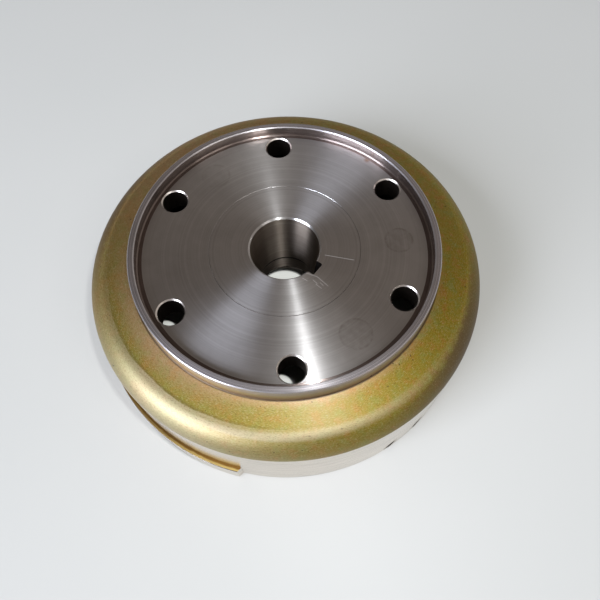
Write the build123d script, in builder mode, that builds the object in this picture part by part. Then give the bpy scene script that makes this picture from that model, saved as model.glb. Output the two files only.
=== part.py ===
from build123d import *
from math import isclose, radians, sin, tan
import os

os.makedirs("parts", exist_ok=True)

# Flywheel rotor of a small engine's magneto generator, standing on its open rim.
# The axis is Z, the origin is the centre of the rim's plane, and the turned face looks up.

# Rotor shell, in millimetres
skirt_radius = 65.0
wall_thickness = 6.4
face_height = 39.5
plate_thickness = 8.5
rim_chamfer = 0.5
mouth_chamfer = 0.8
floor_chamfer = 3.0

# Raised lip around the turned face, set out from the bolt circle
lip_land = 6.1
lip_thickness = 2.1
lip_height = 3.5
lip_edge_chamfer = 0.3
lip_foot_chamfer = 0.6

# Relief turned round the face at the foot of the lip, its side by the lip at 45 degrees
relief_width = 1.7
relief_depth = 0.4

# Plated shoulder between the lip and the skirt
shoulder_drop = 2.6
shoulder_slope = 13.0
shoulder_fillet = 8.0

# Bolt circle for the starter clutch
bolt_circle_radius = 41.3
bolt_count = 6
bolt_first_angle = 30.0
bolt_hole_radius = 4.2
bolt_hole_chamfer = 0.4

# Trigger lug low on the skirt
lug_proud = 1.5
lug_height = 8.5
lug_first_angle = -162.0
lug_arc = 56.0
lug_end_arc = 1.1
lug_root = 0.5
lug_edge_chamfer = 0.2

# Two short slanted timing strokes cut into the skirt
stroke_width = 0.9
stroke_depth = 0.3
stroke_slant = 15.0
low_stroke_angle = -61.0
low_stroke_height = 3.4
low_stroke_length = 5.6
high_stroke_angle = -51.0
high_stroke_height = 5.2
high_stroke_length = 8.0

# Hub pressed into the face
hub_seat_radius = 24.3
hub_length = 38.0
joint_chamfer = 0.15
collar_radius = 28.0
collar_thickness = 3.5
collar_chamfer = 1.0
boss_radius = 20.0
boss_end_chamfer = 1.0

# Taper bore, relief neck and puller bore through the hub
taper_large_radius = 11.3
taper_length = 21.2
taper_ratio = 5.0
bore_mouth_chamfer = 0.5
neck_radius = 9.7
neck_length = 7.6
puller_radius = 13.5
puller_mouth_chamfer = 1.0

# Keyway along the taper
keyway_width = 4.8
keyway_floor_radius = 13.4
keyway_corner = 0.5
keyway_angle = -41.5

# Magnets and the cage that spaces them
magnet_count = 12
magnet_thickness = 6.0
magnet_spacing = 3.2
magnet_edge_chamfer = 0.4
magnet_cage_clearance = 0.05
glue_clearance = 0.1
cage_step = 0.3
cage_floor_land = 0.4
cage_mouth_ring_height = 2.0
cage_mouth_height = 2.0

# Pressed ring that keeps the cage in
retainer_thickness = 0.8
retainer_leg_height = 1.4
retainer_inset = 1.2

# Heights and radii worked out from the sizes above
floor_height = face_height - plate_thickness
cavity_radius = skirt_radius - wall_thickness
lip_inner_radius = bolt_circle_radius + lip_land
lip_outer_radius = lip_inner_radius + lip_thickness
shoulder_height = face_height - shoulder_drop
shoulder_fall = (skirt_radius - lip_outer_radius) * tan(radians(shoulder_slope))
lug_radius = skirt_radius + lug_proud
hub_end = face_height - hub_length
collar_end = floor_height - collar_thickness
taper_end = face_height - taper_length
taper_small_radius = taper_large_radius - taper_length / (2 * taper_ratio)
neck_end = taper_end - neck_length
cage_outer_radius = cavity_radius - glue_clearance
magnet_inner_radius = cage_outer_radius - magnet_thickness
cage_inner_radius = magnet_inner_radius + cage_step
magnet_low = cage_mouth_height + cage_mouth_ring_height
magnet_high = floor_height - floor_chamfer - cage_floor_land
magnet_pitch = 360.0 / magnet_count


# The corner of a section nearest to a point, looked up afresh as each cut renews the section
def corner(section, radius, height):
    return section.vertices().sort_by_distance((radius, height))[0]


# Rotor shell
with BuildPart() as rotor_shell:
    with BuildSketch(Plane.XZ) as shell_section:
        with BuildLine():
            Polyline(
                (cavity_radius, 0),
                (skirt_radius, 0),
                (skirt_radius, shoulder_height - shoulder_fall),
                (lip_outer_radius, shoulder_height),
                (lip_outer_radius, face_height + lip_height),
                (lip_inner_radius, face_height + lip_height),
                (lip_inner_radius, face_height),
                (lip_inner_radius - relief_depth, face_height - relief_depth),
                (lip_inner_radius - relief_width, face_height),
                (hub_seat_radius, face_height),
                (hub_seat_radius, floor_height),
                (cavity_radius, floor_height),
                close=True,
            )
        make_face()
        shoulder_end = corner(shell_section, skirt_radius, shoulder_height - shoulder_fall)
        fillet(shoulder_end, shoulder_fillet)
        chamfer(corner(shell_section, cavity_radius, floor_height), floor_chamfer)
        chamfer(corner(shell_section, lip_outer_radius, shoulder_height), lip_foot_chamfer)
        chamfer(shell_section.vertices().group_by(Axis.Y)[-1], lip_edge_chamfer)
        chamfer(corner(shell_section, skirt_radius, 0), rim_chamfer)
        chamfer(corner(shell_section, cavity_radius, 0), mouth_chamfer)
        chamfer(corner(shell_section, hub_seat_radius, face_height), joint_chamfer)
    revolve(axis=Axis.Z)

    # Trigger lug, with slanted ends
    with BuildSketch(Plane.XY):
        with BuildLine():
            lug_inside = CenterArc((0, 0), skirt_radius - lug_root, lug_first_angle, lug_arc)
            lug_outside = CenterArc(
                (0, 0), lug_radius, lug_first_angle + lug_end_arc, lug_arc - 2 * lug_end_arc
            )
            Line(lug_inside @ 0, lug_outside @ 0)
            Line(lug_inside @ 1, lug_outside @ 1)
        make_face()
    extrude(amount=lug_height)
    lug_arcs = rotor_shell.edges().filter_by(lambda edge: edge.geom_type == GeomType.CIRCLE)
    lug_arcs = lug_arcs.filter_by(lambda edge: isclose(edge.radius, lug_radius))
    chamfer(lug_arcs, lug_edge_chamfer)

    # Bolt holes, countersunk on the face
    with Locations(Plane.XY.offset(face_height)):
        with PolarLocations(bolt_circle_radius, bolt_count, bolt_first_angle):
            CounterSinkHole(
                bolt_hole_radius,
                bolt_hole_radius + bolt_hole_chamfer,
                depth=plate_thickness,
                counter_sink_angle=90,
            )

    # Timing strokes, each cut straight in from its own point on the skirt
    for angle, height, length in (
        (low_stroke_angle, low_stroke_height, low_stroke_length),
        (high_stroke_angle, high_stroke_height, high_stroke_length),
    ):
        outwards = Vector(1, 0).rotate(Axis.Z, angle)
        sideways = Vector(0, 1).rotate(Axis.Z, angle)
        stroke_centre = outwards * skirt_radius + Vector(0, 0, height)
        with BuildSketch(Plane(origin=stroke_centre, x_dir=sideways, z_dir=outwards)):
            SlotOverall(length, stroke_width, rotation=90 - stroke_slant)
        extrude(amount=stroke_depth, both=True, mode=Mode.SUBTRACT)
rotor_shell.part.label = "rotor_shell"
export_step(rotor_shell.part, "parts/rotor_shell.step")


# Hub, turned in one piece with its collar and bored from both ends
with BuildPart() as hub:
    with BuildSketch(Plane.XZ) as hub_section:
        with BuildLine():
            Polyline(
                (taper_large_radius, face_height),
                (hub_seat_radius, face_height),
                (hub_seat_radius, floor_height),
                (collar_radius, floor_height),
                (collar_radius, collar_end),
                (boss_radius, collar_end),
                (boss_radius, hub_end),
                (puller_radius, hub_end),
                (puller_radius, neck_end),
                (neck_radius, neck_end),
                (neck_radius, taper_end),
                (taper_small_radius, taper_end),
                close=True,
            )
        make_face()
        chamfer(corner(hub_section, collar_radius, collar_end), collar_chamfer)
        chamfer(corner(hub_section, taper_large_radius, face_height), bore_mouth_chamfer)
        chamfer(corner(hub_section, boss_radius, hub_end), boss_end_chamfer)
        chamfer(corner(hub_section, puller_radius, hub_end), puller_mouth_chamfer)
    revolve(axis=Axis.Z)

    # Keyway, broached through the taper and the neck
    with BuildSketch(Plane.XY.offset(face_height).rotated((0, 0, keyway_angle))) as keyway:
        Rectangle(keyway_floor_radius, keyway_width, align=(Align.MIN, Align.CENTER))
        fillet(keyway.vertices().group_by(Axis.X)[-1], keyway_corner)
    extrude(amount=-(taper_length + neck_length), mode=Mode.SUBTRACT)
hub.part.label = "hub"
export_step(hub.part, "parts/hub.step")


# Magnets, arcs with parallel gaps between them
wedge_half_angle = magnet_pitch / 2
wedge_reach = 2 * cage_outer_radius


# Corners of a triangle that opens outwards and stays side_gap inside its own share of the ring
def magnet_wedge(direction, side_gap):
    apex = side_gap / sin(radians(wedge_half_angle))
    left_end = Vector(wedge_reach, 0).rotate(Axis.Z, wedge_half_angle)
    right_end = Vector(wedge_reach, 0).rotate(Axis.Z, -wedge_half_angle)
    apex_point = Vector(apex, 0)
    corners = [apex_point, apex_point + right_end, apex_point + left_end]
    return [corner.rotate(Axis.Z, direction) for corner in corners]


for number in range(magnet_count):
    direction = (number + 0.5) * magnet_pitch
    with BuildPart() as magnet:
        with BuildSketch(Plane.XY.offset(magnet_low + magnet_cage_clearance)) as magnet_section:
            Circle(cage_outer_radius)
            Circle(magnet_inner_radius, mode=Mode.SUBTRACT)
            with BuildLine():
                Polyline(*magnet_wedge(direction, magnet_spacing / 2), close=True)
            make_face(mode=Mode.INTERSECT)
            chamfer(magnet_section.vertices(), magnet_edge_chamfer)
        extrude(amount=magnet_high - magnet_low - 2 * magnet_cage_clearance)
    magnet.part.label = f"magnet_{number + 1:02d}"
    export_step(magnet.part, f"parts/{magnet.part.label}.step")


# Magnet cage, two rings joined by a rib in each gap between magnets
with BuildPart() as magnet_cage:
    with BuildSketch(Plane.XY.offset(cage_mouth_height)):
        Circle(cage_outer_radius)
        Circle(cage_inner_radius, mode=Mode.SUBTRACT)
    extrude(amount=floor_height - cage_mouth_height)
    floor_edge = magnet_cage.edges().group_by(Axis.Z)[-1].sort_by(SortBy.RADIUS)[-1]
    chamfer(floor_edge, floor_chamfer)
    for number in range(magnet_count):
        direction = (number + 0.5) * magnet_pitch
        pocket_border = magnet_spacing / 2 - magnet_cage_clearance
        with BuildSketch(Plane.XY.offset(magnet_low)):
            with BuildLine():
                Polyline(*magnet_wedge(direction, pocket_border), close=True)
            make_face()
        extrude(amount=magnet_high - magnet_low, mode=Mode.SUBTRACT)
magnet_cage.part.label = "magnet_cage"
export_step(magnet_cage.part, "parts/magnet_cage.step")


# Retaining ring, an angle section pressed into the mouth
retainer_low = cage_mouth_height - retainer_thickness
with BuildPart() as retaining_ring:
    with BuildSketch(Plane.XZ):
        with BuildLine():
            Polyline(
                (cage_inner_radius + retainer_inset, cage_mouth_height),
                (cavity_radius, cage_mouth_height),
                (cavity_radius, cage_mouth_height - retainer_leg_height),
                (cavity_radius - retainer_thickness, cage_mouth_height - retainer_leg_height),
                (cavity_radius - retainer_thickness, retainer_low),
                (cage_inner_radius + retainer_inset, retainer_low),
                close=True,
            )
        make_face()
    revolve(axis=Axis.Z)
retaining_ring.part.label = "retaining_ring"
export_step(retaining_ring.part, "parts/retaining_ring.step")
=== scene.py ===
from math import ceil, cos, pi, radians, sin, tan
from types import SimpleNamespace

import bpy
from mathutils import Euler, Matrix, Vector


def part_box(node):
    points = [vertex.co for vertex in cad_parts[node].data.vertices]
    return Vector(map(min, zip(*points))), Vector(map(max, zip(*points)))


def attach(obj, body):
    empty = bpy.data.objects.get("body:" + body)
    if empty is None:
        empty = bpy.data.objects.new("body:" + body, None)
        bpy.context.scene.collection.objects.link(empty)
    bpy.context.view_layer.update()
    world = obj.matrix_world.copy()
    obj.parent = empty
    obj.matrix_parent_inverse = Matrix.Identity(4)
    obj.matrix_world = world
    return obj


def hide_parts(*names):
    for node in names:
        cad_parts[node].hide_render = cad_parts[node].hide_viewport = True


# Flywheel rotor of a small engine's magneto, standing on its rim on a pale table.
# Sizes in the dictionaries are millimetres, angles are degrees, and meshes are made in metres.
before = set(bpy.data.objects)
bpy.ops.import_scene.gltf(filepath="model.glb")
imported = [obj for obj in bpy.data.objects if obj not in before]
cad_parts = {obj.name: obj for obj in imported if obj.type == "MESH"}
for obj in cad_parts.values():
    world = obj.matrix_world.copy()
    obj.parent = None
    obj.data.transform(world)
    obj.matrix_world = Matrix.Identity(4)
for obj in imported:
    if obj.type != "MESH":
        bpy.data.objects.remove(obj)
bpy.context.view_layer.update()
mm = 0.001
body = "root"
print("frame loaded:", len(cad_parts), "nodes")


# Node trees, for shapes and for finishes

class Signal:
    # one output of a node, so that a sum written on it adds its own Math nodes
    def __init__(self, net, socket):
        self.net = net
        self.socket = socket

    def __getitem__(self, name):
        return Signal(self.net, self.socket.node.outputs[name])

    def __add__(self, other):
        return self.net.maths("ADD", self, other)

    def __radd__(self, other):
        return self.net.maths("ADD", other, self)

    def __sub__(self, other):
        return self.net.maths("SUBTRACT", self, other)

    def __rsub__(self, other):
        return self.net.maths("SUBTRACT", other, self)

    def __mul__(self, other):
        return self.net.maths("MULTIPLY", self, other)

    def __rmul__(self, other):
        return self.net.maths("MULTIPLY", other, self)

    def __truediv__(self, other):
        return self.net.maths("DIVIDE", self, other)

    def __rtruediv__(self, other):
        return self.net.maths("DIVIDE", other, self)

    def __pow__(self, other):
        return self.net.maths("POWER", self, other)

    def __gt__(self, other):
        return self.net.maths("GREATER_THAN", self, other)

    def __lt__(self, other):
        return self.net.maths("LESS_THAN", self, other)


class Net:
    # a shader tree or a geometry tree, with one method that adds any node
    def __init__(self, tree):
        self.tree = tree

    def node(self, kind, settings=None, inputs=None, output=0):
        made = self.tree.nodes.new(kind)
        for name, value in (settings or {}).items():
            setattr(made, name, value)
        for name, value in (inputs or {}).items():
            for single in value if isinstance(value, list) else [value]:
                if isinstance(single, Signal):
                    self.tree.links.new(single.socket, made.inputs[name])
                else:
                    made.inputs[name].default_value = single
        if made.outputs:      # which the output node of a tree hasn't
            return Signal(self, made.outputs[output])

    def maths(self, operation, *values):
        return self.node("ShaderNodeMath", {"operation": operation}, dict(enumerate(values)))

    def blend(self, first, second, share):
        # colours mixed by a share from 0 to 1
        return self.node("ShaderNodeMix", {"data_type": "RGBA"}, {0: share, 6: first, 7: second}, 2)

    def step(self, value, low, high):
        # 0 below low, 1 above high and a smooth rise between
        settings = {"interpolation_type": "SMOOTHSTEP"}
        return self.node("ShaderNodeMapRange", settings, {0: value, 1: low, 2: high})

    def noise(self, place, scale, detail, roughness=0.5):
        inputs = {"Vector": place, "Scale": scale, "Detail": detail, "Roughness": roughness}
        return self.node("ShaderNodeTexNoise", {"noise_dimensions": "3D"}, inputs)

    def vector(self, x, y, z):
        return self.node("ShaderNodeCombineXYZ", {}, {0: x, 1: y, 2: z})

    def bump(self, height, depth):
        # relief that stands as high as depth, in millimetres
        inputs = {"Strength": 1.0, "Distance": depth * mm, "Height": height}
        return self.node("ShaderNodeBump", {}, inputs)

    def surface(self, inputs):
        return self.node("ShaderNodeBsdfPrincipled", {}, inputs)


def colour(red, green, blue):
    # a colour as a screen shows it, 0 to 255, turned into the linear one that shaders use
    def linear(part):
        part = part / 255
        return part / 12.92 if part <= 0.04045 else ((part + 0.055) / 1.055) ** 2.4

    return (linear(red), linear(green), linear(blue), 1.0)


# Finishes

# A noise in a dictionary is its scale, its detail and, where it isn't 0.5, its roughness
noiseRange = (0.3, 0.7)      # where most of a noise lies
quarterTurn = 0.25      # draws the light out across the lines of a surface


def objectPlace(net):
    # object coordinates in millimetres, with the distance from the axis and the angle round it
    place = net.node("ShaderNodeTexCoord")["Object"]
    scaled = net.node("ShaderNodeVectorMath", {"operation": "SCALE"}, {0: place, "Scale": 1 / mm})
    split = net.node("ShaderNodeSeparateXYZ", {}, {0: scaled})
    x, y, z = split["X"], split["Y"], split["Z"]
    reach = (x * x + y * y) ** 0.5
    angle = net.maths("ARCTAN2", y, x)
    return SimpleNamespace(place=scaled, x=x, y=y, z=z, reach=reach, angle=angle)


def newFinish(name):
    finish = bpy.data.materials.new(name)
    finish.use_nodes = True
    finish.node_tree.nodes.clear()
    net = Net(finish.node_tree)
    return finish, net, objectPlace(net)


def closeFinish(finish, shader):
    shader.net.node("ShaderNodeOutputMaterial", {}, {"Surface": shader})
    return finish


def towards(net, angle, heading):
    # 1 on the side that faces a heading, 0 on the opposite side
    return net.maths("COSINE", angle - radians(heading)) * 0.5 + 0.5


faceCut = {
    "light": colour(216, 215, 214),
    "dark": colour(184, 182, 181),
    "fineRoughness": 0.22,
    "fineGrain": 1.0,
    "coarseRoughness": 0.45,
    "coarseGrain": 0.87,
    "coarseShare": 0.4,
    "roughnessSpread": 0.06,
    "rings": (1 / 0.6, 3.0, 0.7),
    "ringDepth": 0.010,
    "ringShare": 0.4,
    "bands": (0.35, 2.0),
    "bandShare": 0.3,
    "smudges": (0.09, 3.0, 0.6),
    "smudgeShare": 0.3,
}
# the recess by the lip is painted darker than the face, as shade under the lip
shadedRecessCut = {
    **faceCut,
    "light": colour(160, 148, 143),
    "dark": colour(128, 116, 111),
    "fineRoughness": 0.25,
    "coarseShare": 0.3,
}
lipCut = {
    **faceCut,
    "light": colour(206, 202, 204),
    "dark": colour(178, 174, 177),
    "fineRoughness": 0.27,
    "fineGrain": 0.87,
    "coarseRoughness": 0.5,
    "coarseGrain": 0.4,
}
# the bore is painted darker than the face, as shade down inside it
shadedBoreCut = {
    **faceCut,
    "light": colour(132, 124, 114),
    "dark": colour(94, 84, 76),
    "fineRoughness": 0.5,
    "coarseShare": 0.1,
    "rings": (1 / 0.9, 3.0, 0.7),
    "ringDepth": 0.016,
}
faceMarks = {
    "stain": colour(150, 142, 136),
    "stains": (      # x, y, radius and strength of each dried drop
        (19.6, -31.5, 5.0, 1.0),
        (36.95, 0.3, 4.5, 1.0),
        (-22.06, 30.4, 4.8, 0.5),
    ),
    "stainEdge": 0.35,
    "borderShare": 0.45,
    "insideShare": 0.2,
    "patches": (0.5, 2.0),
    "rust": colour(150, 112, 84),
    "rustPlace": (30.5, 33.7),
    "rustRadii": (0.2, 1.6),
    "rustShare": 0.7,
    "bare": colour(252, 250, 248),
    "bareShare": 0.6,
    "dullShare": 0.16,
    "scratchWidth": 0.12,
    "scratches": (      # x and y of one end, then of the other
        (12.7, -3.7, 21.7, -6.15),
        (6.2, -9.8, 9.6, -11.4),
        (9.6, -11.4, 12.7, -14.9),
        (5.0, -11.6, 6.4, -12.6),
        (9.0, -14.0, 10.6, -15.6),
        (8.2, -12.4, 9.4, -13.8),
        (10.4, -13.6, 11.2, -14.6),
    ),
}


def discDistance(x, y, centre):
    return ((x - centre[0]) ** 2 + (y - centre[1]) ** 2) ** 0.5


def scratchDistance(net, x, y, ends):
    # how far a place is from a straight scratch
    along = Vector(ends[2:]) - Vector(ends[:2])
    half = along.length / 2
    along.normalize()
    offX, offY = x - (ends[0] + ends[2]) / 2, y - (ends[1] + ends[3]) / 2
    past = net.maths("MAXIMUM", net.maths("ABSOLUTE", offX * along.x + offY * along.y) - half, 0.0)
    aside = offX * along.y - offY * along.x
    return (past * past + aside * aside) ** 0.5


def markFace(net, base, at):
    # dried drops, a rust spot and scratches on the face, and how much each place scatters light
    patchy = net.step(net.noise(at.place, *faceMarks["patches"]), *noiseRange)
    edge = faceMarks["stainEdge"]
    for across, up, radius, strength in faceMarks["stains"]:
        off = discDistance(at.x, at.y, (across, up))
        border = net.step(off, radius - 2 * edge, radius) * (1 - net.step(off, radius, radius + edge))
        inside = 1 - net.step(off, radius - edge, radius)
        share = (border * faceMarks["borderShare"] + inside * faceMarks["insideShare"]) * strength
        base = net.blend(base, faceMarks["stain"], share * patchy)
    rust = 1 - net.step(discDistance(at.x, at.y, faceMarks["rustPlace"]), *faceMarks["rustRadii"])
    base = net.blend(base, faceMarks["rust"], rust * faceMarks["rustShare"])
    width = faceMarks["scratchWidth"]
    scratched = 0.0
    for ends in faceMarks["scratches"]:
        bare = 1 - net.step(scratchDistance(net, at.x, at.y, ends), width / 2, width)
        scratched = net.maths("MAXIMUM", scratched, bare)
    base = net.blend(base, faceMarks["bare"], scratched * faceMarks["bareShare"])
    return base, scratched * faceMarks["dullShare"]


def turnedFinish(name, cut, marked=False):
    # cut on the lathe, so light is drawn out across the rings: a narrow lobe and a softer one
    finish, net, at = newFinish(name)
    across = net.vector(at.reach, 0.0, at.z)
    rings = net.noise(across, *cut["rings"])
    bands = net.noise(across, *cut["bands"]) * cut["bandShare"]
    smudges = net.step(net.noise(at.place, *cut["smudges"]), *noiseRange) * cut["smudgeShare"]
    bright = smudges + bands + net.step(rings, *noiseRange) * cut["ringShare"]
    base = net.blend(cut["dark"], cut["light"], bright)
    metallic = 1.0
    if marked:
        base, dull = markFace(net, base, at)
        metallic = 1 - dull
    bump = net.bump(rings, cut["ringDepth"])
    lobes = []
    for lobe in ("fine", "coarse"):
        inputs = {
            "Base Color": base,
            "Metallic": metallic,
            "Roughness": cut[lobe + "Roughness"] + (rings - 0.5) * cut["roughnessSpread"],
            "Anisotropic": cut[lobe + "Grain"],
            "Anisotropic Rotation": quarterTurn,
            "Normal": bump,
        }
        lobes.append(net.surface(inputs))
    inputs = {0: cut["coarseShare"], 1: lobes[0], 2: lobes[1]}
    return closeFinish(finish, net.node("ShaderNodeMixShader", {}, inputs))


zincPlate = {
    "olive": colour(144, 130, 48),
    "amber": colour(160, 118, 46),
    "deep": colour(156, 136, 16),
    "rose": colour(184, 150, 112),
    "green": colour(136, 146, 66),
    "orange": colour(180, 122, 50),
    "pale": colour(198, 187, 160),
    "edge": colour(70, 50, 12),
    "dirt": colour(62, 46, 30),
    "bareLip": colour(178, 174, 174),
    "yellowLip": colour(180, 170, 138),
    "orangeLip": colour(178, 152, 118),
    "roughness": 0.54,
    "roughnessSpread": 0.3,
    "lacquer": 0.6,
    "lacquerRoughness": 0.36,
    "clouds": (0.05, 3.0, 0.6),
    "tints": (0.3, 4.0, 0.7),
    "specks": (0.8, 1.0),
    "grain": (1.5, 3.0, 0.7),
    "grainStretch": 3.0,
    "grainDepth": 0.02,
    "ragged": 2.0,
    "frontDrop": 3.2,      # how much lower the brown edge lies in front
    "sides": {      # heading of each side's middle, and how fast it fades away from there
        "right": (-5, 2),
        "rightEdge": (-32, 6),
        "front": (-95, 2),
        "frontEdge": (-105, 5),
        "back": (130, 5),
        "backRose": (128, 6),
        "leftEdge": (160, 6),
        "leftRose": (212, 8),
        "paintedHighlight": (230, 12),
    },
    "limits": {      # radii, heights or levels of noise between which a tint comes in or goes out
        "amber": (0.42, 0.66),
        "frontRose": (50.0, 53.0),
        "leftRose": (52.0, 57.0),
        "green": (0.5, 0.64),
        "orange": (0.36, 0.48),
        "paintedHighlight": (57.5, 58.0),
        "border": (56.7, 57.5),
        "ringInner": (57.6, 59.4),
        "ringOuter": (60.2, 61.8),
        "brownRadius": (58.6, 60.0),
        "brownFoot": (20.0, 25.0),
        "brownTop": (33.8, 36.2),
        "paleGrain": (0.5, 0.72),
        "darkGrain": (0.28, 0.5),
        "yellowLip": (37.4, 39.2),
        "bareLip": (39.4, 41.0),
        "lipWall": (49.55, 49.8),
        "footRadius": (49.9, 50.3),
        "footTop": (36.9, 37.3),
        "specks": (0.75, 0.79),
    },
    "shares": {      # how much of each tint there is, from 0 to 1
        "amber": 0.4,
        "backAmber": 0.5,
        "deep": 0.9,
        "frontRose": 0.7,
        "backRose": 0.55,
        "leftRose": 0.6,
        "mottle": 0.25,
        "rightMottle": 0.3,
        "paintedHighlight": 0.5,
        "border": 0.4,
        "ring": 0.6,
        "brown": 0.96,
        "leastBrown": 0.45,
        "dull": 0.8,
        "paleGrain": 0.5,
        "lostGrain": 0.35,
        "darkGrain": 0.6,
        "foot": 0.85,
        "specks": 0.7,
    },
}


def shoulderTint(net, at, side, clouds, tints):
    # olive all round, amber at the back, deep yellow at the right, rose by the lip, and mottled
    limit, share = zincPlate["limits"], zincPlate["shares"]
    amber = net.step(clouds, *limit["amber"]) * share["amber"] + side["back"] * share["backAmber"]
    base = net.blend(zincPlate["olive"], zincPlate["amber"], amber)
    base = net.blend(base, zincPlate["deep"], side["right"] * share["deep"])
    frontRose = (1 - net.step(at.reach, *limit["frontRose"])) * side["front"]
    leftRose = (1 - net.step(at.reach, *limit["leftRose"])) * side["leftRose"]
    base = net.blend(base, zincPlate["rose"], frontRose * share["frontRose"])
    base = net.blend(base, zincPlate["rose"], side["backRose"] * share["backRose"])
    base = net.blend(base, zincPlate["rose"], leftRose * share["leftRose"])
    mottle = side["right"] * share["rightMottle"] + share["mottle"]
    base = net.blend(base, zincPlate["green"], net.step(tints, *limit["green"]) * mottle)
    return net.blend(base, zincPlate["orange"], (1 - net.step(tints, *limit["orange"])) * mottle)


def roundingTint(net, base, at, side, clouds, tints):
    # a pale painted highlight past a border at the left, with a painted dark line along that border, a
    # pale painted highlight ring in front and a brown outer edge elsewhere
    limit, share = zincPlate["limits"], zincPlate["shares"]
    # painted highlight: the pale at the left stands for the window's reflection on the rounding, the
    # pale ring in front for the lamps'; the dark line inside the left one is painted shade at its edge
    outside = net.step(at.reach + (clouds - 0.5) * zincPlate["ragged"], *limit["paintedHighlight"])
    border = net.step(at.reach, *limit["border"]) * (1 - outside)
    ring = net.step(at.reach, *limit["ringInner"]) * (1 - net.step(at.reach, *limit["ringOuter"]))
    paintedHighlight = outside * side["paintedHighlight"] * share["paintedHighlight"]
    pale = net.maths("MAXIMUM", paintedHighlight, ring * side["frontEdge"] * share["ring"])
    base = net.blend(base, zincPlate["pale"], pale)
    base = net.blend(base, zincPlate["edge"], border * side["paintedHighlight"] * share["border"])
    height = at.z + side["frontEdge"] * zincPlate["frontDrop"] + (tints - 0.5) * zincPlate["ragged"]
    brown = (1 - net.step(height, *limit["brownTop"])) * (1 - side["paintedHighlight"])
    around = net.maths("MAXIMUM", side["rightEdge"], side["leftEdge"])
    brown = brown * net.maths("MAXIMUM", around, share["leastBrown"])
    brown = brown * net.step(at.z, *limit["brownFoot"]) * net.step(at.reach, *limit["brownRadius"])
    return net.blend(base, zincPlate["edge"], brown * share["brown"]), brown


def grainTint(net, base, grain, brown):
    # the drawn grain shows pale and dark, and less of the pale where the edge is brown
    limit, share = zincPlate["limits"], zincPlate["shares"]
    pale = net.step(grain, *limit["paleGrain"]) * (share["paleGrain"] - brown * share["lostGrain"])
    base = net.blend(base, zincPlate["pale"], pale)
    dark = (1 - net.step(grain, *limit["darkGrain"])) * share["darkGrain"]
    return net.blend(base, zincPlate["edge"], dark)


def lipWallTint(net, base, at):
    # the lip's outer wall fades from bare steel to tan, darker at its foot, with specks all round
    limit, share = zincPlate["limits"], zincPlate["shares"]
    wall = net.blend(zincPlate["orangeLip"], zincPlate["yellowLip"], net.step(at.z, *limit["yellowLip"]))
    wall = net.blend(wall, zincPlate["bareLip"], net.step(at.z, *limit["bareLip"]))
    base = net.blend(base, wall, 1 - net.step(at.reach, *limit["lipWall"]))
    foot = (1 - net.step(at.reach, *limit["footRadius"])) * (1 - net.step(at.z, *limit["footTop"]))
    specks = net.step(net.noise(at.place, *zincPlate["specks"]), *limit["specks"])
    return net.blend(base, zincPlate["dirt"], foot * share["foot"] + specks * share["specks"])


def zincFinish():
    # yellow passivated zinc: each stretch of the shoulder has its own tint, with painted highlights on
    # the rounding, under a fine drawn grain
    finish, net, at = newFinish("plated_zinc")
    clouds = net.noise(at.place, *zincPlate["clouds"])
    tints = net.noise(at.place, *zincPlate["tints"])
    drawn = net.vector(at.x, at.y, (at.reach - at.z) * zincPlate["grainStretch"])
    grain = net.noise(drawn, *zincPlate["grain"])
    side = {}
    for name, (heading, fade) in zincPlate["sides"].items():
        side[name] = towards(net, at.angle, heading) ** fade
    base = shoulderTint(net, at, side, clouds, tints)
    base, brown = roundingTint(net, base, at, side, clouds, tints)
    base = grainTint(net, base, grain, brown)
    inputs = {
        "Base Color": lipWallTint(net, base, at),
        "Metallic": 1 - brown * zincPlate["shares"]["dull"],
        "Roughness": zincPlate["roughness"] + (grain - 0.5) * zincPlate["roughnessSpread"],
        "Coat Weight": (1 - brown) ** 3 * zincPlate["lacquer"],
        "Coat Roughness": zincPlate["lacquerRoughness"],
        "Normal": net.bump(grain, zincPlate["grainDepth"]),
    }
    return closeFinish(finish, net.surface(inputs))


groundSteel = {
    "light": colour(212, 202, 186),
    "dark": colour(164, 154, 142),
    "grime": colour(60, 56, 52),
    "roughness": 0.16,
    "roughnessSpread": 0.1,
    "grimeRoughness": 0.7,
    "grain": 0.5,
    "lines": (0.02, 6.0, 3.0, 0.6),      # noises with one scale round the skirt and one up it
    "rubs": (0.03, 2.5, 2.0),
    "bands": (0.06, 0.7, 3.0),
    "lineDepth": 0.0014,
    "lineShare": 0.4,
    "bandShare": 0.35,
    "wearLevels": (0.85, 1.25),
    "bandLevels": (0.45, 0.65),
    "radius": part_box("rotor_shell")[1].x / mm,
    "smears": ((-61.4, 3.6, 2.4), (-51.4, 5.6, 2.6)),      # heading, height and size
    "smearCore": 0.6,
    "smearSlant": 0.27,
    "smearSquash": 0.35,
    "smearRagged": 1.2,
}


def skirtNoise(net, at, pattern):
    # a noise drawn out round the skirt
    around, up, *rest = groundSteel[pattern]
    return net.noise(net.vector(at.x * around, at.y * around, at.z * up), 1.0, *rest)


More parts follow.
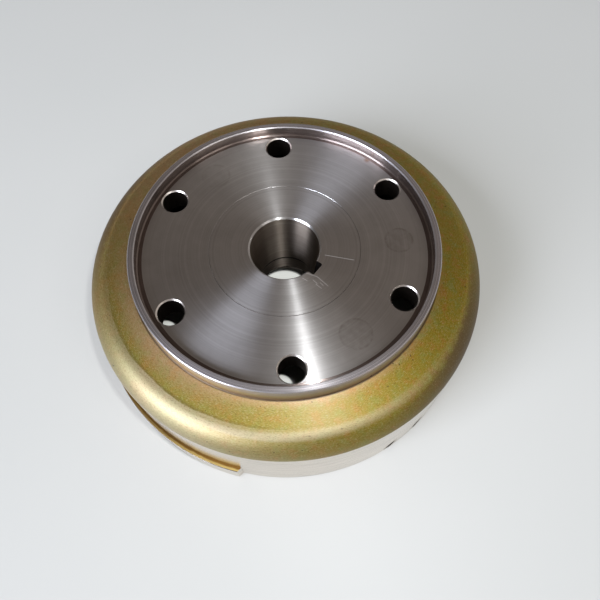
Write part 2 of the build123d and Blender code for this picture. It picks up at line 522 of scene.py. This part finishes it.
def groundFinish():
    # ground all round, which leaves faint lines along the skirt, with grime about the two strokes
    finish, net, at = newFinish("ground_skirt")
    lines, rubs, bands = [skirtNoise(net, at, pattern) for pattern in ("lines", "rubs", "bands")]
    ragged = (rubs - 0.5) * groundSteel["smearRagged"]
    grime = 0.0
    for heading, height, size in groundSteel["smears"]:
        up = at.z - height
        along = (at.angle - radians(heading)) * groundSteel["radius"] - up * groundSteel["smearSlant"]
        off = (along * along + up * up * groundSteel["smearSquash"]) ** 0.5
        grime = net.maths("MAXIMUM", grime, 1 - net.step(off + ragged, groundSteel["smearCore"], size))
    wear = net.step(lines + rubs, *groundSteel["wearLevels"]) * groundSteel["lineShare"]
    wear = wear + net.step(bands, *groundSteel["bandLevels"]) * groundSteel["bandShare"]
    base = net.blend(groundSteel["light"], groundSteel["dark"], wear)
    roughness = groundSteel["roughness"] + (lines - 0.5) * groundSteel["roughnessSpread"]
    inputs = {
        "Base Color": net.blend(base, groundSteel["grime"], grime),
        "Metallic": 1 - grime,
        "Roughness": roughness + grime * groundSteel["grimeRoughness"],
        "Anisotropic": groundSteel["grain"],
        "Anisotropic Rotation": quarterTurn,
        "Normal": net.bump(lines, groundSteel["lineDepth"]),
    }
    return closeFinish(finish, net.surface(inputs))


lugPlate = {
    "light": colour(222, 194, 120),
    "dark": colour(146, 108, 52),
    "clouds": (0.25, 3.0, 0.6),
    "cloudDepth": 0.01,
    "ragged": 0.8,
    "seamRadii": (65.3, 65.9),
    "paleHeadings": (-156.0, -126.0),
    "roughness": 0.36,
    "roughnessSpread": 0.1,
}


def lugFinish():
    # yellow zinc on top of the lug, darker beside the skirt and towards its far left end
    finish, net, at = newFinish("lug_plating")
    cloud = net.noise(at.place, *lugPlate["clouds"])
    outer = net.step(at.reach + (cloud - 0.5) * lugPlate["ragged"], *lugPlate["seamRadii"])
    pale = net.step(at.angle, *[radians(heading) for heading in lugPlate["paleHeadings"]])
    inputs = {
        "Base Color": net.blend(lugPlate["dark"], lugPlate["light"], outer * pale),
        "Metallic": 1.0,
        "Roughness": lugPlate["roughness"] + cloud * lugPlate["roughnessSpread"],
        "Normal": net.bump(cloud, lugPlate["cloudDepth"]),
    }
    return closeFinish(finish, net.surface(inputs))


drilled = {
    "dark": colour(70, 60, 52),
    "light": colour(112, 102, 94),
    "marks": (1.2, 3.0, 0.7),
    "markDepth": 0.01,
    "roughness": 0.35,
    "roughnessSpread": 0.1,
}


def drilledFinish():
    # walls of the bolt holes, painted dark as shade inside them
    finish, net, at = newFinish("drilled_holes_painted_shade")
    marks = net.noise(at.place, *drilled["marks"])
    inputs = {
        "Base Color": net.blend(drilled["dark"], drilled["light"], marks),
        "Metallic": 1.0,
        "Roughness": drilled["roughness"] + marks * drilled["roughnessSpread"],
        "Normal": net.bump(marks, drilled["markDepth"]),
    }
    return closeFinish(finish, net.surface(inputs))


cloudNoise = (3.0, 0.6)
cloudDepth = 0.01
cloudSpread = 0.1
plainFacts = {      # two colours, then metallic, roughness and the scale of the clouds
    # near black, painted shade for the strokes' insides, the keyway and the neck's top
    "painted_shade_recesses": (colour(34, 31, 29), colour(52, 48, 45), 1.0, 0.55, 1.5),
    "machined_hub": (colour(150, 144, 138), colour(184, 178, 172), 1.0, 0.35, 0.3),
    "countersunk_edges": (colour(214, 208, 202), colour(232, 226, 220), 1.0, 0.32, 1.0),
    "ground_ferrite": (colour(62, 62, 64), colour(84, 83, 84), 0.0, 0.55, 0.8),
    "black_resin": (colour(28, 28, 29), colour(40, 39, 38), 0.0, 0.45, 0.5),
    "plated_ring": (colour(196, 176, 104), colour(206, 164, 96), 1.0, 0.32, 0.2),
}


def plainFinish(name):
    # one even surface, with clouds of two colours that change its roughness a little
    first, second, metallic, roughness, scale = plainFacts[name]
    finish, net, at = newFinish(name)
    cloud = net.noise(at.place, scale, *cloudNoise)
    inputs = {
        "Base Color": net.blend(first, second, net.step(cloud, *noiseRange)),
        "Metallic": metallic,
        "Roughness": roughness + (cloud - 0.5) * cloudSpread,
        "Normal": net.bump(cloud, cloudDepth),
    }
    return closeFinish(finish, net.surface(inputs))


faceSteel = turnedFinish("turned_face", faceCut, True)
shadedRecessSteel = turnedFinish("turned_recess_painted_shade", shadedRecessCut)
lipSteel = turnedFinish("turned_lip", lipCut)
shadedBoreSteel = turnedFinish("turned_bore_painted_shade", shadedBoreCut)
zinc = zincFinish()
skirtSteel = groundFinish()
lugZinc = lugFinish()
shadedHoleSteel = drilledFinish()
paintedShadeSteel = plainFinish("painted_shade_recesses")
hubSteel = plainFinish("machined_hub")
sinkSteel = plainFinish("countersunk_edges")
ferrite = plainFinish("ground_ferrite")
cageResin = plainFinish("black_resin")
ringZinc = plainFinish("plated_ring")
print("finishes made")


# Shapes

def newObject(name, mesh):
    made = bpy.data.objects.new(name, mesh)
    bpy.context.scene.collection.objects.link(made)
    return made


def meshObject(name, points, faces=(), edges=()):
    mesh = bpy.data.meshes.new(name)
    mesh.from_pydata([Vector(point) * mm for point in points], edges, faces)
    mesh.update()
    return newObject(name, mesh)


def sectionPoints(corners, facet=radians(6), support=0.12):
    # corners are (radius, height, cut): a cut above 0 is a rounding, one below 0 is a chamfer,
    # and a point beside each rounding keeps its shading off the flat
    points = []
    for place, (radius, height, cut) in enumerate(corners):
        here = Vector((radius, height))
        back = Vector(corners[place - 1][:2]) - here
        onwards = Vector(corners[(place + 1) % len(corners)][:2]) - here
        backwards = back.normalized()
        forwards = onwards.normalized()
        turn = pi - back.angle(onwards)
        if cut == 0:
            points.append(here)
        elif cut < 0:
            points += [here - backwards * cut, here - forwards * cut]
        else:
            side = 1 if backwards.y * forwards.x > backwards.x * forwards.y else -1
            reach = cut * tan(turn / 2)
            first = here + backwards * reach
            centre = here + (backwards + forwards).normalized() * cut / cos(turn / 2)
            steps = max(3, ceil(turn / facet))
            points.append(here + backwards * (reach + support))
            for step in range(steps + 1):
                points.append(centre + Matrix.Rotation(side * turn * step / steps, 2) @ (first - centre))
            points.append(here + forwards * (reach + support))
    return points


carrierRadius = 1.0      # of the circle that carries a section round the axis


def sectionObject(name, corners):
    # drawn upside down and backwards, because carrying it round the axis turns it over
    points = [(point.x - carrierRadius, -point.y, 0) for point in reversed(sectionPoints(corners))]
    edges = [(place, (place + 1) % len(points)) for place in range(len(points))]
    return meshObject(name, points, edges=edges)


def prism(name, outline, low, high, place=Matrix()):
    # outline in x and y, drawn counter-clockwise, from low to high along z
    count = len(outline)
    points = [place @ Vector((x, y, height)) for height in (low, high) for x, y in outline]
    faces = [tuple(reversed(range(count))), tuple(range(count, 2 * count))]
    faces += [(i, (i + 1) % count, count + (i + 1) % count, count + i) for i in range(count)]
    return meshObject(name, points, faces)


socketKinds = {type(None): "NodeSocketObject", int: "NodeSocketInt", float: "NodeSocketFloat"}


def newTree(name, sockets):
    # an empty tree with its named inputs, of which a None stands for an object that comes later
    tree = bpy.data.node_groups.new(name, "GeometryNodeTree")
    tree.is_modifier = True
    for label, value in sockets.items():
        kind = socketKinds[type(value)]
        socket = tree.interface.new_socket(label, in_out="INPUT", socket_type=kind)
        if value is not None:
            socket.default_value = value
    tree.interface.new_socket("Geometry", in_out="OUTPUT", socket_type="NodeSocketGeometry")
    net = Net(tree)
    return net, net.node("NodeGroupInput")


def grow(name, net, values):
    # runs a tree on an empty mesh and keeps the result as a plain mesh
    holder = newObject(name, bpy.data.meshes.new(name))
    modifier = holder.modifiers.new("shape", "NODES")
    modifier.node_group = net.tree
    for item in net.tree.interface.items_tree:
        if item.in_out == "INPUT" and item.name in values:
            modifier[item.identifier] = values[item.name]
    evaluated = holder.evaluated_get(bpy.context.evaluated_depsgraph_get())
    mesh = bpy.data.meshes.new_from_object(evaluated)
    holder.modifiers.remove(modifier)
    if mesh.materials[0] is None:      # the empty slot that the tree started with
        mesh.materials.pop(index=0)
    holder.data = mesh
    mesh.name = name
    return holder


def objectMesh(net, piece):
    info = net.node("GeometryNodeObjectInfo", {"transform_space": "ORIGINAL"}, {"Object": piece})
    return info["Geometry"]


def spin(net, section, segments):
    # a closed section spun round the axis
    profile = net.node("GeometryNodeMeshToCurve", {}, {"Mesh": objectMesh(net, section)})
    inputs = {"Resolution": segments, "Radius": carrierRadius * mm}
    ring = net.node("GeometryNodeCurvePrimitiveCircle", {}, inputs)
    return net.node("GeometryNodeCurveToMesh", {}, {"Curve": ring, "Profile Curve": profile})


def finishShape(net, geometry, zones, sharp):
    # ends a tree: smooth faces, edges sharper than a limit left crisp, and a material for each zone
    geometry = net.node("GeometryNodeRealizeInstances", {}, {"Geometry": geometry})
    geometry = net.node("GeometryNodeSetShadeSmooth", {"domain": "FACE"}, {"Geometry": geometry})
    bend = net.node("GeometryNodeInputMeshEdgeAngle")
    inputs = {"Geometry": geometry, "Selection": bend > radians(sharp), "Shade Smooth": False}
    geometry = net.node("GeometryNodeSetShadeSmooth", {"domain": "EDGE"}, inputs)
    for material, selection in zones:
        inputs = {"Geometry": geometry, "Material": material}
        if selection is not None:
            inputs["Selection"] = selection
        geometry = net.node("GeometryNodeSetMaterial", {}, inputs)
    net.node("NodeGroupOutput", {}, {"Geometry": geometry})


def cutAway(net, geometry, cutters, operation="DIFFERENCE"):
    # the inputs of Mesh Boolean are Mesh 1 and Mesh 2, and a union takes them all in the second
    settings = {"operation": operation, "solver": "MANIFOLD"}
    if operation == "UNION":
        return net.node("GeometryNodeMeshBoolean", settings, {1: [geometry, *cutters]})
    return net.node("GeometryNodeMeshBoolean", settings, {0: geometry, 1: cutters})


def fieldPlace(net):
    # the place of each face, in millimetres, as distance from the axis and height
    split = net.node("ShaderNodeSeparateXYZ", {}, {0: net.node("GeometryNodeInputPosition")})
    x, y, z = split["X"] / mm, split["Y"] / mm, split["Z"] / mm
    return (x * x + y * y) ** 0.5, z


slack = 0.05      # how far a zone of finish reaches past the faces that it is for


def between(value, low, high):
    return (value > low) * (value < high)


def dropHelpers(*helpers):
    for helper in helpers:
        mesh = helper.data
        bpy.data.objects.remove(helper)
        bpy.data.meshes.remove(mesh)


# Rotor shell: cup, lip and shoulder in one turned piece, drilled, with its trigger lug

shell = {
    "skirtRadius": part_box("rotor_shell")[1].x / mm,
    "cavityRadius": 58.6,
    "floorHeight": 31.0,
    "faceHeight": 39.5,
    "lipTop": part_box("rotor_shell")[1].z / mm,
    "lipOuter": 49.5,
    "lipInner": 47.4,
    "lipChamfer": 0.3,
    "reliefWidth": 1.7,
    "reliefDepth": 0.4,
    "shoulderHeight": 36.9,
    "shoulderSlope": 13.0,
    "shoulderRounding": 8.0,
    "shoulderFillet": 0.6,
    "floorFillet": 3.0,
    "rimInnerChamfer": 0.8,
    "rimOuterChamfer": 0.5,
    "platedAbove": 26.96,
    "skirtSkin": 0.7,      # how far under the skirt a face still counts as the skirt's
    "hubSeat": 24.3,
    "seatChamfer": 0.2,
    "segments": 384,
    "sharpEdge": 12.0,
}
boltHoles = {
    "count": 6,
    "circle": 41.3,
    "first": 30.0,
    "radius": 4.2,
    "chamfer": 0.4,
    "drillPast": 2.0,      # how much longer the drill is than the floor is thick
    "sides": 72,
}
lug = {
    "proud": 1.5,
    "root": 0.5,
    "height": 8.5,
    "foot": 0.02,
    "first": -162.0,
    "arc": 56.0,
    "endArc": 1.1,
    "edge": 0.2,
    "steps": 60,
}
strokes = {
    "width": 0.9,
    "depth": 0.3,
    "slant": 15.0,
    "places": ((-61.0, 3.4, 5.6), (-51.0, 5.2, 8.0)),      # heading, height and length
    "standOut": 1.0,      # how far a cutter stands out from the skirt
    "zone": (0.6, 12.0),      # heights between which both strokes lie
    "endSteps": 8,
}


def shellSection():
    # the cup's wall, from the rim's inner edge round the outside and back along the floor
    fall = (shell["skirtRadius"] - shell["lipOuter"]) * tan(radians(shell["shoulderSlope"]))
    corners = [
        (shell["cavityRadius"], 0, -shell["rimInnerChamfer"]),
        (shell["skirtRadius"], 0, -shell["rimOuterChamfer"]),
        (shell["skirtRadius"], shell["shoulderHeight"] - fall, shell["shoulderRounding"]),
        (shell["lipOuter"], shell["shoulderHeight"], shell["shoulderFillet"]),
        (shell["lipOuter"], shell["lipTop"], -shell["lipChamfer"]),
        (shell["lipInner"], shell["lipTop"], -shell["lipChamfer"]),
        (shell["lipInner"], shell["faceHeight"], 0),
        (shell["lipInner"] - shell["reliefDepth"], shell["faceHeight"] - shell["reliefDepth"], 0),
        (shell["lipInner"] - shell["reliefWidth"], shell["faceHeight"], 0),
        (shell["hubSeat"], shell["faceHeight"], -shell["seatChamfer"]),
        (shell["hubSeat"], shell["floorHeight"], 0),
        (shell["cavityRadius"], shell["floorHeight"], shell["floorFillet"]),
    ]
    return sectionObject("shell_section", corners)


def lugBlock():
    # an arc of steel with slanted ends, its outer edges chamfered
    inner = shell["skirtRadius"] - lug["root"]
    outer = shell["skirtRadius"] + lug["proud"]
    low, high, edge = lug["foot"], lug["height"], lug["edge"]
    section = [
        (inner, low),
        (outer - edge, low),
        (outer, low + edge),
        (outer, high - edge),
        (outer - edge, high),
        (inner, high),
    ]
    points = []
    for step in range(lug["steps"] + 1):
        for radius, height in section:
            slant = lug["endArc"] * (radius - inner) / (outer - inner)
            span = lug["arc"] - 2 * slant
            angle = radians(lug["first"] + slant + span * step / lug["steps"])
            points.append((radius * cos(angle), radius * sin(angle), height))
    count = len(section)
    last = lug["steps"] * count
    faces = [tuple(range(count)), tuple(last + corner for corner in reversed(range(count)))]
    for step in range(lug["steps"]):
        for corner in range(count):
            a = step * count + corner
            b = step * count + (corner + 1) % count
            faces.append((a, a + count, b + count, b))
    return meshObject("lug_block", points, faces)


def strokeCutter(name, angle, height, length):
    # a slot with round ends, standing out from the skirt
    half = strokes["width"] / 2
    straight = length / 2 - half
    outline = []
    for end, start in ((1, 0), (-1, 180)):
        for step in range(strokes["endSteps"] + 1):
            bend = radians(start + 180 * step / strokes["endSteps"])
            outline.append((half * cos(bend), end * straight + half * sin(bend)))
    outwards = Vector((cos(radians(angle)), sin(radians(angle)), 0))
    sideways = Vector((-outwards.y, outwards.x, 0))
    upright = Matrix((sideways, (0, 0, 1), outwards)).transposed()
    turn = upright @ Matrix.Rotation(radians(-strokes["slant"]), 3, "Z")
    centre = outwards * shell["skirtRadius"] + Vector((0, 0, height))
    place = Matrix.Translation(centre) @ turn.to_4x4()
    return prism(name, outline, -strokes["depth"], strokes["standOut"], place)


def boltCutters(net, given):
    # a drill and a countersink at each point of the bolt circle
    inputs = {"Vertices": given["Hole count"], "Radius": given["Bolt circle"]}
    circle = net.node("GeometryNodeMeshCircle", {}, inputs)
    turn = net.vector(0.0, 0.0, given["First hole"])
    circle = net.node("GeometryNodeTransform", {}, {"Geometry": circle, "Rotation": turn})
    inputs = {
        "Vertices": boltHoles["sides"],
        "Radius": given["Hole radius"],
        "Depth": given["Face height"] - given["Floor height"] + boltHoles["drillPast"] * mm,
    }
    drill = net.node("GeometryNodeMeshCylinder", {}, inputs)
    lift = net.vector(0.0, 0.0, (given["Face height"] + given["Floor height"]) * 0.5)
    drill = net.node("GeometryNodeTransform", {}, {"Geometry": drill, "Translation": lift})

    # the cone stands one chamfer above the face and two below it
    inputs = {
        "Vertices": boltHoles["sides"],
        "Radius Top": given["Hole radius"] + given["Hole chamfer"] * 2.0,
        "Radius Bottom": given["Hole radius"] - given["Hole chamfer"],
        "Depth": given["Hole chamfer"] * 3.0,
    }
    sink = net.node("GeometryNodeMeshCone", {}, inputs)
    lift = net.vector(0.0, 0.0, given["Face height"] - given["Hole chamfer"] * 2.0)
    sink = net.node("GeometryNodeTransform", {}, {"Geometry": sink, "Translation": lift})
    placed = []
    for cutter in (drill, sink):
        inputs = {"Points": circle, "Instance": cutter}
        copies = net.node("GeometryNodeInstanceOnPoints", {}, inputs)
        placed.append(net.node("GeometryNodeRealizeInstances", {}, {"Geometry": copies}))
    return placed


def shellZones(net):
    # a finish for each stretch of the shell, the later ones over the earlier
    reach, z = fieldPlace(net)
    face = shell["faceHeight"]
    holeEdge = boltHoles["radius"] + boltHoles["chamfer"]
    skirt = reach > shell["skirtRadius"] - shell["skirtSkin"]
    cutIn = reach < shell["skirtRadius"] - slack
    holes = between(reach, boltHoles["circle"] - holeEdge, boltHoles["circle"] + holeEdge)
    relief = between(reach, boltHoles["circle"] + holeEdge, shell["lipInner"] + slack)
    return (
        (zinc, None),
        (faceSteel, (z > face - shell["seatChamfer"]) * (reach < shell["lipOuter"] - slack)),
        (skirtSteel, skirt * (z < shell["platedAbove"])),
        # painted shade: the insides of the strokes are near black
        (paintedShadeSteel, skirt * cutIn * between(z, *strokes["zone"])),
        (lugZinc, (reach > shell["skirtRadius"] + slack) * (z > lug["height"] - slack)),
        # painted shade on the walls of the bolt holes
        (shadedHoleSteel, holes * between(z, shell["floorHeight"] + slack, face - slack)),
        (sinkSteel, holes * between(z, face - boltHoles["chamfer"], face - slack)),
        # painted shade: the relief groove and the lip's inner wall take the darker recess finish
        (shadedRecessSteel, relief * (z > face - shell["reliefDepth"] - slack)),
        (lipSteel, z > shell["lipTop"] - shell["lipChamfer"]),
    )


def shellTree():
    inputs = {
        "Section": None,
        "Segments": shell["segments"],
        "Lug": None,
        "Low stroke": None,
        "High stroke": None,
        "Hole count": boltHoles["count"],
        "Bolt circle": boltHoles["circle"] * mm,
        "First hole": radians(boltHoles["first"]),
        "Hole radius": boltHoles["radius"] * mm,
        "Hole chamfer": boltHoles["chamfer"] * mm,
        "Face height": shell["faceHeight"] * mm,
        "Floor height": shell["floorHeight"] * mm,
    }
    net, given = newTree("turned, drilled shell", inputs)
    turned = spin(net, given["Section"], given["Segments"])
    cup = cutAway(net, turned, [objectMesh(net, given["Lug"])], "UNION")
    drilled = cutAway(net, cup, boltCutters(net, given))
    cutters = [objectMesh(net, given[name]) for name in ("Low stroke", "High stroke")]
    marked = cutAway(net, drilled, cutters)
    finishShape(net, marked, shellZones(net), shell["sharpEdge"])
    return net


shellParts = {
    "Section": shellSection(),
    "Lug": lugBlock(),
    "Low stroke": strokeCutter("low_stroke", *strokes["places"][0]),
    "High stroke": strokeCutter("high_stroke", *strokes["places"][1]),
}
shellPiece = grow("turned_shell", shellTree(), shellParts)
dropHelpers(*shellParts.values())
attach(shellPiece, body)
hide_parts("rotor_shell")
print("shell made:", len(shellPiece.data.polygons), "faces")


# Hub: collar and boss in one piece, with a keyed taper from the face and a puller bore from below

hub = {
    "faceHeight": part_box("hub")[1].z / mm,
    "foot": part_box("hub")[0].z / mm,
    "seatRadius": 24.3,
    "seatHeight": 31.0,
    "collarRadius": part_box("hub")[1].x / mm,
    "collarFoot": 27.5,
    "collarFillet": 0.5,
    "collarChamfer": 1.0,
    "bossRadius": 20.0,
    "bossChamfer": 1.0,
    "boreChamfer": 0.5,
    "taperLarge": 11.3,
    "taperSmall": 9.18,
    "taperEnd": 18.3,
    "neckRadius": 9.7,
    "dirtFoot": 16.6,
    "neckEnd": 10.7,
    "threadRoot": 14.3,
    "threadChamfer": 0.9,
    "segments": 256,
    "sharpEdge": 24.0,
}
keyway = {
    "width": 4.8,
    "floor": 13.4,
    "corner": 0.5,
    "angle": -41.5,
    "past": (0.5, 1.0),      # how far the cutter runs on below the neck and above the face
    "zone": (10.7, 13.6),      # radii between which its walls lie
    "steps": 4,
}


def hubSection():
    # from the thread's mouth up the outside to the face, and back down the bore
    corners = [
        (hub["threadRoot"], hub["foot"], -hub["threadChamfer"]),
        (hub["bossRadius"], hub["foot"], -hub["bossChamfer"]),
        (hub["bossRadius"], hub["collarFoot"], hub["collarFillet"]),
        (hub["collarRadius"], hub["collarFoot"], -hub["collarChamfer"]),
        (hub["collarRadius"], hub["seatHeight"], 0),
        (hub["seatRadius"], hub["seatHeight"], 0),
        (hub["seatRadius"], hub["faceHeight"], 0),
        (hub["taperLarge"], hub["faceHeight"], -hub["boreChamfer"]),
        (hub["taperSmall"], hub["taperEnd"], 0),
        (hub["neckRadius"], hub["taperEnd"], 0),
        (hub["neckRadius"], hub["dirtFoot"], 0),
        (hub["neckRadius"], hub["neckEnd"], 0),
        (hub["threadRoot"], hub["neckEnd"], 0),
    ]
    return sectionObject("hub_section", corners)


def keywayCutter():
    # a bar from the axis outwards, with its two outer corners rounded
    corner, steps = keyway["corner"], keyway["steps"]
    half = keyway["width"] / 2
    far = keyway["floor"] - corner
    outline = [(0, half), (0, -half)]
    for side, start in ((-1, -90), (1, 0)):
        centre = side * (half - corner)
        for step in range(steps + 1):
            turn = radians(start + 90 * step / steps)
            outline.append((far + corner * cos(turn), centre + corner * sin(turn)))
    below, above = keyway["past"]
    place = Matrix.Rotation(radians(keyway["angle"]), 4, "Z")
    return prism("keyway_cutter", outline, hub["neckEnd"] - below, hub["faceHeight"] + above, place)


def hubTree():
    inputs = {"Section": None, "Segments": hub["segments"], "Keyway": None}
    net, given = newTree("turned, keyed hub", inputs)
    turned = spin(net, given["Section"], given["Segments"])
    keyed = cutAway(net, turned, [objectMesh(net, given["Keyway"])])
    reach, z = fieldPlace(net)
    inner, outer = keyway["zone"]
    bore = (reach < outer) * (z > hub["neckEnd"] - slack)
    neck = reach < hub["neckRadius"] + slack
    zones = (
        (hubSteel, None),
        # painted shade down the bore
        (shadedBoreSteel, bore),
        # painted shade in the keyway
        (paintedShadeSteel, bore * (reach > inner)),
        # a painted shadow band at the top of the neck, under the taper's end
        (paintedShadeSteel, neck * between(z, hub["dirtFoot"], hub["taperEnd"])),
        (faceSteel, z > hub["faceHeight"] - hub["boreChamfer"]),
    )
    finishShape(net, keyed, zones, hub["sharpEdge"])
    return net


hubParts = {"Section": hubSection(), "Keyway": keywayCutter()}
hubPiece = grow("turned_hub", hubTree(), hubParts)
dropHelpers(*hubParts.values())
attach(hubPiece, body)
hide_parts("hub")
print("hub made:", len(hubPiece.data.polygons), "faces")


# Thread of the puller bore, a ridge wound up the inside of the hub

thread = {
    "crest": 13.5,
    "root": 14.4,
    "pitch": 1.5,
    "low": 2.6,
    "high": 9.9,
    "crestWidth": 0.22,
    "rootWidth": 1.3,
    "perTurn": 96,
    "sharpEdge": 24.0,
}


def threadSection():
    # the ridge's section, with the root outwards
    half = thread["rootWidth"] / 2
    tip = thread["crestWidth"] / 2
    depth = thread["root"] - thread["crest"]
    points = [(0, -half, 0), (0, half, 0), (-depth, tip, 0), (-depth, -tip, 0)]
    return meshObject("thread_section", points, edges=[(0, 1), (1, 2), (2, 3), (3, 0)])


def threadTree():
    inputs = {
        "Section": None,
        "Root radius": thread["root"] * mm,
        "Pitch": thread["pitch"] * mm,
        "Low end": thread["low"] * mm,
        "High end": thread["high"] * mm,
    }
    net, given = newTree("wound thread", inputs)
    height = given["High end"] - given["Low end"]
    inputs = {
        "Resolution": thread["perTurn"],
        "Rotations": height / given["Pitch"],
        "Start Radius": given["Root radius"],
        "End Radius": given["Root radius"],
        "Height": height,
        "Reverse": True,
    }
    winding = net.node("GeometryNodeCurveSpiral", {}, inputs)
    lift = net.vector(0.0, 0.0, given["Low end"])
    winding = net.node("GeometryNodeTransform", {}, {"Geometry": winding, "Translation": lift})
    upright = net.node("GeometryNodeSetCurveNormal", {"mode": "Z_UP"}, {"Curve": winding})
    profile = net.node("GeometryNodeMeshToCurve", {}, {"Mesh": objectMesh(net, given["Section"])})
    inputs = {"Curve": upright, "Profile Curve": profile, "Fill Caps": True}
    ridge = net.node("GeometryNodeCurveToMesh", {}, inputs)
    finishShape(net, ridge, ((hubSteel, None),), thread["sharpEdge"])
    return net


threadProfile = threadSection()
threadPiece = grow("puller_thread", threadTree(), {"Section": threadProfile})
dropHelpers(threadProfile)
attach(threadPiece, body)
print("thread made:", len(threadPiece.data.polygons), "faces")


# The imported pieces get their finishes, and those inside the cup keep their own shapes

nodeFinishes = {
    "rotor_shell": zinc,
    "hub": hubSteel,
    "magnet_cage": cageResin,
    "retaining_ring": ringZinc,
}
for name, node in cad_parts.items():
    node.data.materials.clear()
    node.data.materials.append(nodeFinishes.get(name, ferrite))      # the rest are magnets
print("packed pieces dressed")


# Table, lamps and camera

table = {
    "size": 3000.0,
    "drop": 0.05,      # how far it lies under the rim
    "light": colour(202, 201, 196),
    "dark": colour(197, 197, 192),
    "clouds": (0.012, 2.0),
    "roughness": 0.5,
    "glow": (0.5, 0.51, 0.48, 1.0),
    "glowEdge": 0.8,
}
lamps = {
    "flash": {
        "shape": "ELLIPSE",
        "place": (26.5, -86.0, 238.0),
        "size": (14, 14),
        "power": 0.21,
        "colour": (0.96, 0.98, 1.0),
    },
    "window": {
        "shape": "RECTANGLE",
        "place": (-1410, -1037, 1000),
        "size": (1200, 1350),
        "power": 57.0,
        "colour": (0.81, 0.86, 1.0),
    },
    "bounce": {
        "shape": "RECTANGLE",
        "place": (750, -630, 1135),
        "size": (450, 450),
        "power": 1.5,
        "colour": (1.0, 0.97, 0.94),
    },
}
lampAim = (0, 0, 30)
camera = {
    "place": (0.0, -97.62, 196.72),
    "turn": (26.55, 0.47, -3.65),
    "lens": 34.44,
    "nearest": 10.0,
}
room = {
    "low": (0.42, 0.39, 0.36, 1.0),      # colours of the walls low down and high up
    "high": (0.15, 0.125, 0.108, 1.0),
    "highFrom": 0.8,
    "soft": (0.255, 0.26, 0.262, 1.0),      # what lights dull surfaces instead
    "softGain": 0.9,
    "rightGain": 0.6,
}


def lightSpots():
    # where the flash falls on the table through the bolt holes and the bore, and how wide
    flash = Vector(lamps["flash"]["place"])
    middle = (shell["faceHeight"] + shell["floorHeight"]) / 2
    openings = [(Vector((0, 0, hub["neckEnd"])), hub["neckRadius"])]
    for number in range(boltHoles["count"]):
        angle = radians(boltHoles["first"] + 360 * number / boltHoles["count"])
        across, up = boltHoles["circle"] * cos(angle), boltHoles["circle"] * sin(angle)
        openings.append((Vector((across, up, middle)), boltHoles["radius"]))
    spots = []
    for centre, radius in openings:
        stretch = flash.z / (flash.z - centre.z)
        spots.append((flash + (centre - flash) * stretch, radius * stretch))
    return spots


def tableFinish():
    # under the cup the camera sees the table glow pale where the flash reaches it, a painted pool of
    # light
    finish, net, at = newFinish("pale_table")
    cloud = net.noise(at.place, *table["clouds"])
    lit = 0.0
    for spot, radius in lightSpots():
        inside = 1 - net.step(discDistance(at.x, at.y, spot), radius - table["glowEdge"], radius)
        lit = net.maths("MAXIMUM", lit, inside)
    seen = net.node("ShaderNodeLightPath")["Is Camera Ray"]
    inputs = {
        "Base Color": net.blend(table["dark"], table["light"], cloud),
        "Roughness": table["roughness"],
        # painted light: the glow is seen by camera rays only
        "Emission Color": net.blend(colour(0, 0, 0), table["glow"], lit * seen),
        "Emission Strength": 1.0,
    }
    return closeFinish(finish, net.surface(inputs))


half = table["size"] / 2
corners = [(half * x, half * y, -table["drop"]) for x, y in ((-1, -1), (1, -1), (1, 1), (-1, 1))]
tableTop = meshObject("table_top", corners, [(0, 1, 2, 3)])
tableTop.data.materials.append(tableFinish())

for name, facts in lamps.items():
    light = bpy.data.lights.new(name, "AREA")
    light.shape = facts["shape"]
    light.size = facts["size"][0] * mm
    light.size_y = facts["size"][1] * mm
    light.energy = facts["power"]
    light.color = facts["colour"]
    lamp = newObject(name, light)
    lamp.location = Vector(facts["place"]) * mm
    aim = Vector(lampAim) - Vector(facts["place"])
    lamp.rotation_euler = aim.to_track_quat("-Z", "Y").to_euler()

view = bpy.data.cameras.new("camera")
view.lens = camera["lens"]
view.clip_start = camera["nearest"] * mm
viewer = newObject("camera", view)
viewer.location = Vector(camera["place"]) * mm
viewer.rotation_euler = Euler([radians(turn) for turn in camera["turn"]])
bpy.context.scene.camera = viewer


def roomWorld():
    # dim walls all round, paler low down and stronger at the right, and an even light on dull surfaces
    world = bpy.data.worlds.new("room")
    world.use_nodes = True
    world.node_tree.nodes.clear()
    net = Net(world.node_tree)
    heading = net.node("ShaderNodeTexCoord")["Generated"]
    split = net.node("ShaderNodeSeparateXYZ", {}, {0: heading})
    walls = net.blend(room["low"], room["high"], net.step(split["Z"], 0.0, room["highFrom"]))
    soft = net.node("ShaderNodeLightPath")["Is Diffuse Ray"]
    strength = (split["X"] * room["rightGain"] + 1.0) * (soft * room["softGain"] + 1.0)
    inputs = {"Color": net.blend(walls, room["soft"], soft), "Strength": strength}
    glow = net.node("ShaderNodeBackground", {}, inputs)
    net.node("ShaderNodeOutputWorld", {}, {"Surface": glow})
    return world


bpy.context.scene.world = roomWorld()
bpy.context.scene.view_settings.view_transform = "Standard"
print("table, lamps and camera set")
